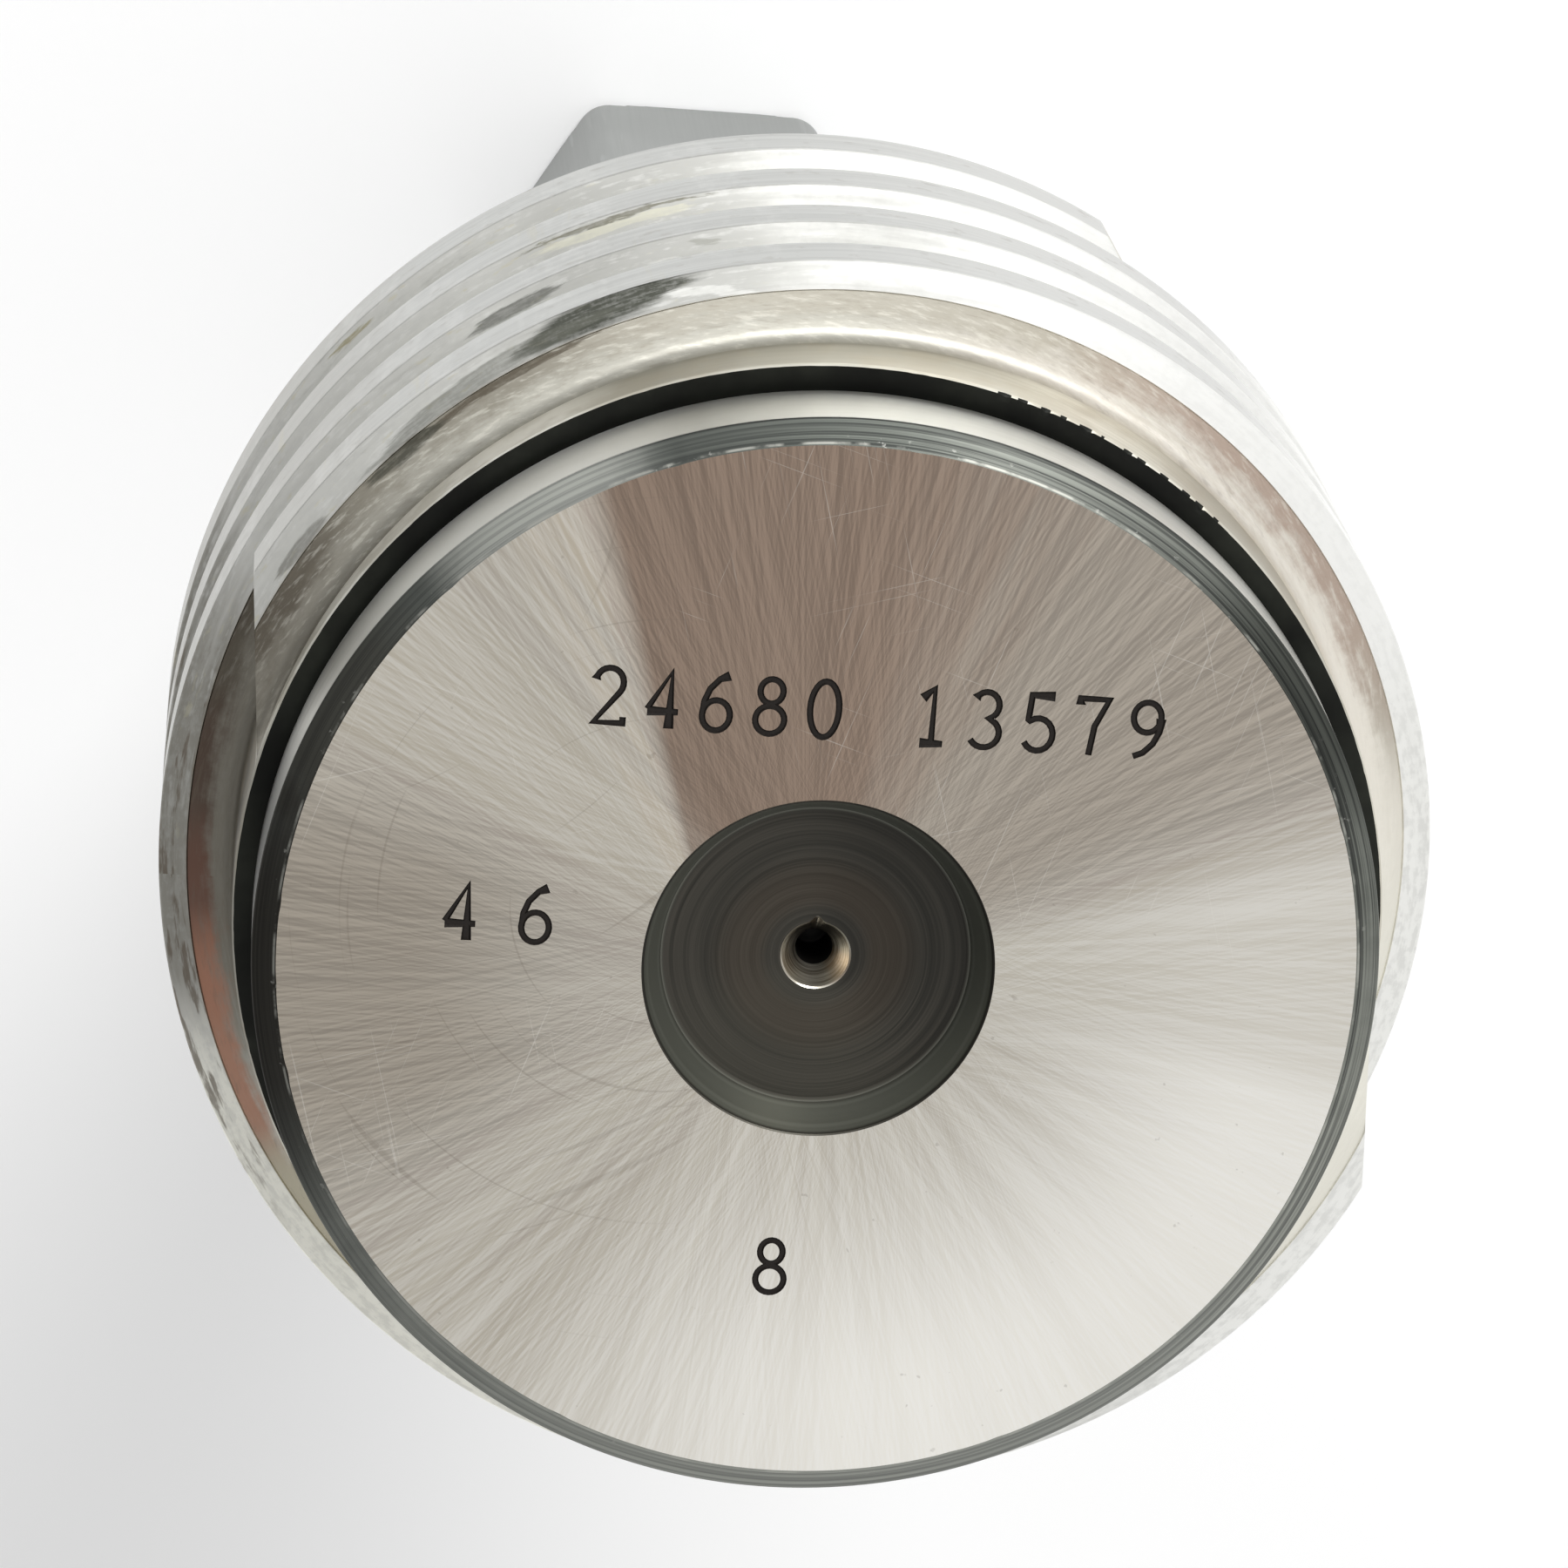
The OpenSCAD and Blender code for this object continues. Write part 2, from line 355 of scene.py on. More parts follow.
def stitch(bm, left, right):
    # Quads where both columns have a label, triangles where only one does
    inLeft, inRight = {p[0] for p in left}, {p[0] for p in right}
    i = k = 0
    while i < len(left) - 1 or k < len(right) - 1:
        if i < len(left) - 1 and left[i + 1][0] not in inRight:
            corners, zone, i = [left[i], left[i + 1], right[k]], left[i][2], i + 1
        elif k < len(right) - 1 and right[k + 1][0] not in inLeft:
            corners, zone, k = [left[i], right[k + 1], right[k]], right[k][2], k + 1
        else:
            corners, zone = [left[i], left[i + 1], right[k + 1], right[k]], left[i][2]
            i, k = i + 1, k + 1
        verts = list(dict.fromkeys(corner[1] for corner in corners))
        if len(verts) > 2:
            bm.faces.new(verts).material_index = zone


def skin(name, columns, relabel=lambda label: label):
    # A closed skin over columns that go once round the axis
    bm = bmesh.new()
    rows = columnRows(bm, columns)
    rows.append([(relabel(label), vert, zone) for label, vert, zone in rows[0]])
    for left, right in zip(rows, rows[1:]):
        stitch(bm, left, right)
    bmesh.ops.remove_doubles(bm, verts=bm.verts, dist=tiny["twin"])
    bmesh.ops.dissolve_degenerate(bm, edges=bm.edges, dist=tiny["sliver"])
    return linked(name, meshFrom(bm, name))


def crestDepth(ridge, turn):
    return thread["firstDepth"] + thread["lead"] * ((90 - turn) / 360 + 0.5 * ridge)


def ridgeFlats(ridge):
    # Distance and direction of the flats that end a ridge, at the front and at the back
    return ((thread["startFlats"][ridge], 180 * ridge),
            (thread["endFlat"], thread["endFlatAngle"] + 180 * ridge - 360 * thread["turns"]))


def ridgeTop(ridge, turn):
    # Outer radius of a ridge, with its flats run softly into the crest
    top, soft, widest = thread["crest"], 0.02, 55
    for flat, facing in ridgeFlats(ridge):
        off = turn - facing
        if abs(off) < widest:
            reach = flat / math.cos(math.radians(off))
            top = (top + reach - math.sqrt((top - reach) ** 2 + soft ** 2)) / 2
    return top


def ridgeSpan(ridge, radius):
    # The turns at which the ridge's two flats pass through a radius
    (startFlat, startFacing), (endFlat, endFacing) = ridgeFlats(ridge)
    return (startFacing - math.degrees(math.acos(startFlat / radius)),
            endFacing + math.degrees(math.acos(endFlat / radius)))


def flankOffset(radius):
    # How far the flank lies from its crest edge, along the axis, as its radius falls
    t = thread
    sweep = math.radians(90 - flankAngle)
    rise = t["fillet"] * (1 - math.cos(sweep))
    if radius - t["root"] >= rise:
        return (t["crest"] - radius) * t["slope"] - (t["relief"] if radius < t["groundFrom"] else 0)
    corner = (t["crest"] - t["root"]) * t["slope"] - t["relief"]
    tangent = t["fillet"] / math.tan(math.radians(90 + flankAngle) / 2)
    up = t["fillet"] - (radius - t["root"])
    return corner + tangent - math.sqrt(max(0.0, t["fillet"] ** 2 - up ** 2))


def ridgeRadii():
    # Radii of a flank's points, from the root up, each with the zone above it
    t = thread
    sweep = math.radians(90 - flankAngle)
    radii = [(t["root"] + t["fillet"] * (1 - math.cos(sweep * k / 5)), "lowerFlank") for k in range(6)]
    return radii + [(35.6, "lowerFlank"), (t["groundFrom"] - 0.001, "groundFlank"),
                    (t["groundFrom"] + 0.08, "groundFlank"), (t["crest"] - t["edgeBreak"], "groundFlank")]


def addRidge(column, ridge, turn, count):
    # One pass of a ridge through a column: front flank, crest, back flank
    top = ridgeTop(ridge, turn)
    front = crestDepth(ridge, turn)
    back = front + thread["crestWidth"]
    flank = [(min(radius, top), zone) for radius, zone in ridgeRadii()]
    for k, (radius, zone) in enumerate(flank):
        column.add((ridge, count, k), radius, front - flankOffset(radius), zone)
    edge = flankOffset(min(top, thread["crest"])) - thread["edgeBreak"]
    crestZone = "crest" if top > thread["crest"] - thread["flatFrom"] else "flat"
    column.add((ridge, count, "front"), top, front - edge, crestZone)
    column.add((ridge, count, "back"), top, back + edge, "groundFlank")
    for k, (radius, zone) in reversed(list(enumerate(flank))):
        below = flank[k - 1][1] if k else "root"
        column.add((ridge, count, -k - 1), radius, back + flankOffset(radius), below)


edgeWaves = random.Random(11)
waves = [(edgeWaves.randint(40, 260), edgeWaves.uniform(0, 360), edgeWaves.uniform(0.3, 1)) for _ in range(9)]
dentPlaces = random.Random(5)
rimDents = [(dentPlaces.uniform(-80, 260), dentPlaces.uniform(0.02, 0.05)) for _ in range(12)]
dentWidth = 0.9     # in degrees round the rim


def edgeNoise(angle):
    return sum(size * math.sin(math.radians(angle * count + start)) for count, start, size in waves) / 3


def plugProfile(angle):
    # Points of the turned outline before and after the ridges, with the nicks in its edges
    p, root, lip, corner = plug, thread["root"], plug["rootLip"], plug["grooveCorner"]
    drillTop = p["recessDepth"] + (p["cone"] - p["drill"]) / math.tan(math.radians(p["coneHalfAngle"]))
    drillEnd = drillTop + p["drillDepth"]
    notch = nick["size"] * math.exp(-((angle - nick["angle"]) / nick["spread"]) ** 2)
    isTorn = tear["start"] < angle < tear["end"]
    torn = max(0, tear["size" if isTorn else "elsewhere"] * edgeNoise(angle))
    tornZone = "groove" if isTorn and torn > tear["darkFrom"] else "root"
    dent = sum(size * math.exp(-((angle - at) / dentWidth) ** 2) for at, size in rimDents)
    front = [("tip", 0, drillEnd + p["drillPoint"], "drill"),
             ("drillEnd", p["drill"], drillEnd, "drill"),
             ("drillTop", p["drill"], drillTop, "cone"),
             ("coneTop", p["cone"] - 0.04 + notch * 0.9, p["recessDepth"] + 0.07, "cone"),
             ("floorIn", p["cone"] + 0.06 + notch, p["recessDepth"], "recess"),
             ("floorMiddle", 5.5, p["recessDepth"], "recess"),
             ("floorOut", p["recessFloor"] - 0.3, p["recessDepth"], "recess"),
             ("wallFoot", p["recessFloor"] - 0.05, p["recessDepth"] - 0.08, "recess"),
             ("wallLow", p["recessFloor"] + 0.08, p["recessDepth"] - 0.35, "recess"),
             ("wallTop", p["recess"] - 0.06, 0.07, "recess"),
             ("rim", p["recess"] + 0.03, 0, "face"),
             ("faceOut", p["face"] - 0.05 - dent, 0, "chamfer"),
             ("chamferIn", p["face"] + 0.04 - dent * 0.6, 0.04 + dent * 0.3, "chamfer"),
             ("chamferOut", p["pilot"] - 0.06, p["chamferDepth"] - 0.03, "chamfer"),
             ("pilotIn", p["pilot"], p["chamferDepth"] + 0.06, "pilot"),
             ("pilotOut", p["pilot"], p["pilotEnd"] - 0.08, "pilot"),
             ("grooveIn", p["pilot"] - 0.08, p["pilotEnd"], "groove"),
             ("grooveLow", p["groove"] + corner, p["pilotEnd"], "groove"),
             ("grooveFoot", p["groove"], p["pilotEnd"] + corner, "groove"),
             ("grooveHeel", p["groove"], p["grooveEnd"] - corner, "groove"),
             ("grooveHigh", p["groove"] + corner, p["grooveEnd"], "groove"),
             ("rootWall", root - 0.5, p["grooveEnd"], "groove"),
             ("rootIn", root - lip - torn, p["grooveEnd"] + torn * 0.5, tornZone),
             ("rootFront", root, p["grooveEnd"] + lip + torn, "root")]
    shankEnd = p["backDepth"] + p["shankLength"]
    back = [("rootBack", root, p["backDepth"] - p["backChamfer"], "back"),
            ("backOut", root - p["backChamfer"], p["backDepth"], "back"),
            ("shankIn", p["shank"], p["backDepth"], "shank"),
            ("shankMiddle", p["shank"], p["backDepth"] + handle["pinFromFront"], "shank"),
            ("shankOut", p["shank"], shankEnd - p["shankChamfer"], "shank"),
            ("shankEnd", p["shank"] - p["shankChamfer"], shankEnd, "shank"),
            ("endPole", 0, shankEnd, "shank")]
    return front, back


def plugAngles():
    # Every angle that needs a column: even steps, the ridges' ends, the nicks and the torn edge
    exact, wanted = [plug["seam"]], []
    for ridge in (0, 1):
        corners = ridgeSpan(ridge, thread["crest"])
        exact += [*ridgeSpan(ridge, thread["root"]), *corners]
        wanted += [corner + off for corner in corners for off in (-0.5, -0.2, 0.2, 0.5)]
    wanted += [nick["angle"] + 2 * k for k in range(-7, 8)]
    wanted += [tear["start"] + tear["step"] * k for k in range(tear["steps"])]
    wanted += [at + 0.45 * k for at, size in rimDents for k in range(-3, 4)]
    wanted += [plug["seam"] + thread["columnStep"] * k for k in range(int(360 / thread["columnStep"]))]
    chosen = []
    for value in exact + wanted:
        angle = round((value - plug["seam"]) % 360, 4)
        gaps = [abs(angle - other) for other in chosen]
        if all(min(gap, 360 - gap) >= plug["closestColumns"] for gap in gaps):
            chosen.append(angle)
    return [plug["seam"] + angle for angle in sorted(chosen)]


def plugColumns():
    columns = []
    for angle in plugAngles():
        column = Column(angle)
        front, back = plugProfile(angle)
        for point in front:
            column.add(*point)
        passes = []
        for ridge in (0, 1):
            start, end = ridgeSpan(ridge, thread["root"])
            turns = [(count, angle - 360 * count) for count in range(4)]
            passes += [(crestDepth(ridge, turn), ridge, turn, count) for count, turn in turns
                       if end - tiny["turn"] <= turn <= start + tiny["turn"]]
        for _, ridge, turn, count in sorted(passes):
            addRidge(column, ridge, turn, count)
        for point in back:
            column.add(*point)
        columns.append(column)
    return columns


def nextTurn(label):
    # The first column, met again after a full turn, is one pass further along each ridge
    return (label[0], label[1] + 1, label[2]) if isinstance(label, tuple) else label


def arc(x, y, wide, high, start, end, steps=14):
    # Points along part of an ellipse, between two angles
    turns = [unit(start + (end - start) * i / steps) for i in range(steps + 1)]
    return [(x + wide * c, y + high * s) for c, s in turns]


def loop(x, y, wide, high, steps=24):
    return True, arc(x, y, wide, high, 0, 360, steps)[:-1]


# Each numeral is one or two strokes, closed or open, on a box 0.55 wide and 1 high
strokes = {
    "0": [loop(0.275, 0.5, 0.24, 0.48, 28)],
    "1": [(False, [(0.1, 0.80), (0.29, 0.97), (0.29, 0.04)]), (False, [(0.1, 0.03), (0.48, 0.03)])],
    "2": [(False, arc(0.275, 0.73, 0.23, 0.25, 170, -38) + [(0.05, 0.04), (0.53, 0.04), (0.53, 0.15)])],
    "3": [(False, arc(0.27, 0.745, 0.21, 0.23, 150, -75, 12) + arc(0.26, 0.27, 0.25, 0.25, 62, -150, 12))],
    "4": [(False, [(0.40, 0.0), (0.40, 0.97), (0.03, 0.32)]), (False, [(0.03, 0.29), (0.54, 0.29)])],
    "5": [(False, [(0.50, 0.97), (0.12, 0.97), (0.09, 0.55)] + arc(0.26, 0.30, 0.25, 0.28, 125, -150))],
    "6": [loop(0.275, 0.28, 0.23, 0.26),
          (False, [(0.46, 0.97), (0.30, 0.90), (0.15, 0.73), (0.07, 0.52), (0.05, 0.30)])],
    "7": [(False, [(0.04, 0.86), (0.04, 0.97), (0.51, 0.97), (0.30, 0.50), (0.24, 0.0)])],
    "8": [loop(0.275, 0.26, 0.24, 0.24), loop(0.275, 0.75, 0.19, 0.21)],
    "9": [loop(0.275, 0.71, 0.23, 0.26),
          (False, [(0.505, 0.70), (0.49, 0.46), (0.40, 0.26), (0.25, 0.10), (0.09, 0.03)])],
}

# Rows of numerals: text, left end of the base line, pitch, tilt in degrees
marks = dict(halfWidth=0.19, floorShare=0.55, depth=0.14, topShare=1.25, topAbove=0.12, high=3.5,
             widestMitre=1.6, endShare=0.7, innerRadius=10.8, outerRadius=31.2, shallowest=0.004, deepest=0.4,
             rows=[("24680 13579", (-13.2, 15.2), 3.12, -4.8), ("4 6", (-21.9, 2.3), 2.2, -4.0),
                   ("8", (-3.9, -20.1), 3.0, -4.0)])


def strokeRing(bm, centre, side, place):
    # Six corners across a trench: wide above the face, narrower at its floor
    ring, m = [], marks
    for share, z in ((m["topShare"], m["topAbove"]), (1.0, 0.0), (m["floorShare"], -m["depth"])):
        for sign in (1, -1):
            p = place @ (centre + side * share * sign).to_3d()
            ring.append(bm.verts.new((p.x, p.y, gaugeHeight + z)))
    return [ring[0], ring[2], ring[4], ring[5], ring[3], ring[1]]


def strokeSolid(bm, points, closed, place):
    # A trench cutter along one stroke
    count = len(points)
    rings = []
    for i, point in enumerate(points):
        here = Vector(point)
        before = points[i - 1] if closed or i else point
        after = points[(i + 1) % count] if closed or i < count - 1 else point
        first, second = here - Vector(before), Vector(after) - here
        first, second = (first or second).normalized(), (second or first).normalized()
        across = (first + second).normalized()
        stretch = min(marks["widestMitre"], 1 / max(0.4, across.dot(first)))
        if not closed and i in (0, count - 1):
            here += (second if i else -first) * marks["halfWidth"] * marks["endShare"]
        side = Vector((-across.y, across.x)) * marks["halfWidth"] * stretch
        rings.append(strokeRing(bm, here, side, place))
    for a, b in list(zip(rings, rings[1:])) + ([(rings[-1], rings[0])] if closed else []):
        for k in range(6):
            bm.faces.new((a[k], a[(k + 1) % 6], b[(k + 1) % 6], b[k]))
    if not closed:
        bm.faces.new(rings[0][::-1])
        bm.faces.new(rings[-1])


def markCutters():
    # Two cutters, because the strokes of one numeral cross each other
    cutters = []
    for layer in (0, 1):
        bm = bmesh.new()
        for text, (left, base), pitch, tilt in marks["rows"]:
            turn = Matrix.Translation((left, base, 0)) @ Matrix.Rotation(math.radians(tilt), 4, "Z")
            for i, letter in enumerate(text):
                for closed, points in strokes.get(letter, [])[layer:layer + 1]:
                    scaled = [(x * marks["high"] + pitch * i, y * marks["high"]) for x, y in points]
                    strokeSolid(bm, scaled, closed, turn)
        bmesh.ops.recalc_face_normals(bm, faces=bm.faces)
        cutters.append(meshFrom(bm, "cutter"))
    return cutters


def pinCutter(length):
    # The cross hole, on the pin's axis
    bm = bmesh.new()
    radius = plug["crossHole"]
    bmesh.ops.create_cone(bm, cap_ends=True, segments=72, radius1=radius, radius2=radius, depth=length)
    bm.transform(Matrix.Translation((0, 0, gaugeHeight - plug["backDepth"] - handle["pinFromFront"]))
                 @ Matrix.Rotation(math.radians(handle["facing"] - 60), 4, "Z")
                 @ Matrix.Rotation(math.radians(90), 4, "Y"))
    return meshFrom(bm, "cutter")


def carve(piece, cutters):
    # Cuts each mesh away in turn and keeps the result as plain geometry
    for mesh in cutters:
        tool = linked("tool", mesh)
        cut = piece.modifiers.new("cut", "BOOLEAN")
        cut.operation, cut.solver, cut.object = "DIFFERENCE", "MANIFOLD", tool
        bpy.context.view_layer.update()
        evaluated = piece.evaluated_get(bpy.context.evaluated_depsgraph_get())
        result = bpy.data.meshes.new_from_object(evaluated)
        piece.modifiers.clear()
        old, piece.data = piece.data, result
        bpy.data.meshes.remove(old)
        bpy.data.objects.remove(tool)
        bpy.data.meshes.remove(mesh)


crease = dict(angle=24, level=0.9999)       # sharper turns, and edges of level faces, stay crisp


def crisp(piece):
    # Metric size, smooth shading and crisp edges
    bm = bmesh.new()
    bm.from_mesh(piece.data)
    limit = math.radians(crease["angle"])
    for face in bm.faces:
        face.smooth = True
    for edge in bm.edges:
        level = {abs(face.normal.z) > crease["level"] for face in edge.link_faces}
        edge.smooth = len(level) == 1 and edge.calc_face_angle(0.0) < limit
    bm.transform(Matrix.Scale(mm, 4))
    bm.to_mesh(piece.data)
    bm.free()


def faceFinish():
    # Lapped steel: fine radial grain that crosses at a small angle, a few hairlines and swirls
    # Its tones by direction are painted reflection and shade
    f = Finish("radiallyLappedFace").place()
    grain = (f.radialLines(0.8, 125.0, 0.028) * 0.4 + f.radialLines(-4.2, 150.0, 0.034) * 0.32
             + f.radialLines(5.2, 190.0, 0.042) * 0.28)
    streak = f.noise(f.vector(f.ux * 12, f.uy * 12, f.r * 0.03), detail=4, rough=0.65)
    waver = (streak - 0.5) * 2.6
    colour = f.mix(f.step(streak, 0.3, 0.7), (194, 189, 180), (206, 202, 193))
    # Painted reflection: lighter toward the lower right, more so further out
    paintedReflection = f.sector(-50, 90, 22) * f.step(f.r, 8, 28, 0.14, 0.95)
    colour = f.mix(paintedReflection + waver * 0.06, colour, (248, 246, 240))
    # The face's tones by direction are painted reflection; leftShade is painted shade toward the left, more
    # so further out
    colour = f.around(colour, "face", waver)
    leftShade = f.sector(180, 34) * f.step(f.r, 11, 25, 0.2, 0.85)
    colour = f.mix(leftShade, colour, (164, 155, 143))
    # The brown wedge is a painted reflection: a crisp left edge that misses the centre, and a soft right one
    wedgeMiss = 5.7
    wedge = f.sector(64, 43, 37, wedgeMiss) * f.sector(102, 50, 17)
    wedge = f.calc("MULTIPLY", wedge + waver * 1.6 * wedge * (1 - wedge), 0.95, clamp=True)
    colour = f.mix(wedge, colour, (144, 125, 111))
    # A paler band along the wedge's crisp edge
    wedgeEdgeBand = f.sector(108, 7, 1, wedgeMiss) * f.step(streak, 0.38, 0.56)
    colour = f.mix(wedgeEdgeBand * 0.55, colour, (208, 200, 188))
    shade = f.mix(f.step(grain, 0.40, 0.60), (92, 88, 82), (216, 215, 211))
    colour = f.mix(0.29, colour, shade, "OVERLAY")
    sparse = f.step(f.noise(f.at, 0.09, 2), 0.48, 0.62)
    hairlines = f.scratches((12, 67, 101, 158), 7.5, 0.06, 0.71) * sparse
    colour = f.mix(hairlines * 0.26, colour, (236, 233, 226))
    swirl = f.calc("MAXIMUM", f.swirls(-9, 4, 3.2, 0.70), f.swirls(-30, 30, 3.0, 0.71))
    swirl = swirl * f.sector(170, 80, 40)
    colour = f.mix(swirl * 0.24, colour, (122, 112, 101))
    specks = f.step(f.noise(f.at, 1.3, 2), 0.73, 0.78)
    colour = f.mix(specks * 0.25, colour, (118, 108, 96))
    height = grain - hairlines * 0.3 - swirl * 0.15
    return f.finished(colour, 0.34 + grain * 0.12, 1.0, height, 0.12, 0.008,
                      Anisotropic=0.3, Anisotropic_Rotation=0.25)


def darkTurned(name, dark, light, lines, scale, across, rough, metallic):
    # Turned steel with its tool lines: groove, drilled hole, back face
    f = Finish(name).place()
    rings = f.faceRings if lines == "face" else f.ringLines
    ring, fine = rings(across), rings(across * 2.7)
    patch = f.noise(f.at, scale, 3)
    tone = f.step(ring * 0.65 + fine * 0.35, 0.36, 0.64)
    colour = f.mix(tone, dark, light)
    colour = f.mix(f.step(patch, 0.3, 0.7) * 0.35, colour, dark)
    return f.finished(colour, rough - tone * 0.1, metallic, ring + fine * 0.6, 0.35, 0.02)


def chamferFinish():
    f = Finish("turnedChamfer").place()
    ring, fine = f.faceRings(4.6, 0.02), f.faceRings(11.0, 0.05)
    tone = f.step(ring * 0.6 + fine * 0.4, 0.40, 0.60)
    patch = f.noise(f.vector(f.ux * 14, f.uy * 14, f.r * 0.4), detail=4)
    # The chamfer's tones by direction are painted reflection and shade over its black oxide
    colour = f.around((86, 89, 86), "chamfer", (patch - 0.5) * 2.6)
    contrast = 0.35 + 0.35 * f.sector(30, 85, 30)
    colour = f.mix(contrast, colour, f.mix(tone, (58, 58, 56), (214, 214, 208)), "OVERLAY")
    edgeLine = 1 - f.step(f.calc("ABSOLUTE", f.r - 31.68), 0.03, 0.1)
    colour = f.mix(edgeLine * f.step(patch, 0.45, 0.6) * 0.5, colour, (182, 182, 174))
    nicks = f.step(f.noise(f.at, 1.7, 3), 0.66, 0.72) * (1 - f.step(f.r, 31.8, 32.3))
    colour = f.mix(nicks * 0.35, colour, (176, 176, 170))
    return f.finished(colour, 0.5 - tone * 0.06, 0.85, ring + fine, 0.35, 0.02)


def groundBand(name, base, lift, lines, across):
    # Bright ground steel with fine lines
    f = Finish(name).place()
    pattern = f.helixLines if lines == "helix" else f.ringLines
    fine, broad = pattern(across), pattern(across * 0.22)
    colour = f.mix(f.step(fine * 0.5 + broad * 0.5, 0.34, 0.66), base, lift)
    return f, colour, fine, broad


def pilotFinish():
    f, colour, fine, broad = groundBand("groundPilot", (210, 209, 202), (228, 227, 221), "ring", 9.0)
    # Painted light and shade by direction: a highlight near 125 degrees, darker near 20 and 88 degrees and to
    # the left
    colour = f.around(colour, "pilot")
    edge = 1 - f.step(f.depth, 0.85, 1.15)
    colour = f.mix(edge * 0.5, colour, (120, 120, 114))
    return f.finished(colour, 0.28 + fine * 0.14, 1.0, fine + broad, 0.2, 0.012, Anisotropic=0.3)


def rootFinish():
    f, colour, fine, broad = groundBand("turnedRoot", (198, 195, 182), (224, 221, 210), "ring", 7.0)
    # Painted light and shade by direction: a highlight near 132 degrees, darker near 34 and 90 degrees and to
    # the left
    colour = f.around(colour, "root")
    front = 1 - f.step(f.depth, 8.45, 8.9)
    colour = f.mix(front * 0.5, colour, (226, 224, 212))
    stain = f.step(f.noise(f.at, 0.22, 4), 0.45, 0.62)
    colour = f.mix(stain * 0.3, colour, (168, 158, 138))
    return f.finished(colour, 0.34 + fine * 0.15, 0.95, fine + broad, 0.3, 0.015)


def lowerFlankFinish():
    # Left as turned: cream at the root, partly a painted highlight along the fillet, and brown and olive
    # streaks along the thread further out
    f = Finish("unfinishedFlank").place()
    wide, fine = f.wisps(0.09, 1.5), f.wisps(0.3, 5.0)
    slanted = f.noise(f.vector(f.angle * 0.25 + f.r * 1.2, f.r * 3.0 - f.angle * 0.5, 0.0), rough=0.65)
    mottle = f.noise(f.at, 0.55, 5, 0.65)
    out = f.step(f.r + (mottle - 0.5) * 2.0 + (wide - 0.5) * 2.4, 35.0, 36.5)
    # Painted highlight: toward the lower right the brown gives way to cream
    out = out * (1 - f.sector(-45, 62, 48) * 0.85)
    waver = (wide - 0.5) * 3
    # The tint's tones by direction are partly brown stains, partly painted shade that darkens toward the left
    tint = f.around(f.mix(wide, (186, 181, 168), (154, 147, 133)), "lowerFlank", waver)
    firstPass = 1 - f.step(f.depth, 21.0, 22.5)
    tint = f.mix(firstPass, tint, f.around(tint, "rust", waver))
    cream = f.mix(f.step(fine, 0.35, 0.65), (226, 225, 217), (206, 204, 193))
    # The cream's tones by direction are painted light and shade: lighter at the lower right, darker at the
    # top and left
    colour = f.mix(out * 0.88, f.around(cream, "cream"), tint)
    pale = f.step(slanted * 0.6 + fine * 0.4, 0.50, 0.64) * f.sector(80, 95, 50)
    colour = f.mix(pale * 0.36, colour, (226, 224, 214))
    dark = f.step(1 - slanted * 0.5 - fine * 0.5, 0.52, 0.64) * (1 - 0.8 * f.sector(-35, 80, 50))
    colour = f.mix(dark * 0.26, colour, (120, 112, 99))
    colour = layMarksAndShadow(f, colour)
    height = mottle * 0.5 + slanted * 0.3 + fine * 0.6
    return f.finished(colour, 0.42 + mottle * 0.16, 0.9, height, 0.3, 0.02)


def layMarksAndShadow(f, colour):
    # The marks' edges are frayed along the thread, and fine pale lines run through them
    wide, fine = f.wisps(0.14, 1.8), f.wisps(0.5, 7.0)
    frayed = f.r + (wide - 0.5) * 1.1 + (fine - 0.5) * 0.5
    through = f.step(fine * 0.7 + f.noise(f.at, 3.5, 3) * 0.3, 0.42, 0.64, 1.0, 0.72)
    for count, start, end, halfWidth, tone, strength in flankMarksAndShadow:
        mark = f.smear(count, start, end, halfWidth, frayed)
        colour = f.mix(mark * through * strength, colour, tone)
    return colour


def film(f, colour, strength):
    # Greasy film, pale residue and small stains along the thread, strongest at the upper left
    wide, thin = f.wisps(0.07, 1.1), f.wisps(0.22, 3.6)
    grit = f.noise(f.vector(f.angle * 0.9, f.r * 3.0, f.z * 0.9), detail=4)
    dark = f.step(wide * 0.5 + thin * 0.5, 0.50, 0.66) * f.sector(132, 42, 20)
    colour = f.mix(dark * strength * 0.8, colour, (142, 142, 135))
    pale = f.step(thin * 0.7 + grit * 0.3, 0.50, 0.66) * f.sector(128, 60, 25)
    colour = f.mix(pale * strength, colour, (228, 228, 225))
    residue = f.step(f.wisps(0.4, 2.4), 0.60, 0.70) * f.sector(136, 50, 15)
    colour = f.mix(residue * strength, colour, (196, 191, 166))
    stained = f.step(f.wisps(0.16, 1.6), 0.54, 0.64) * f.sector(186, 32, 14)
    return f.mix(stained * 0.7, colour, (104, 92, 78))


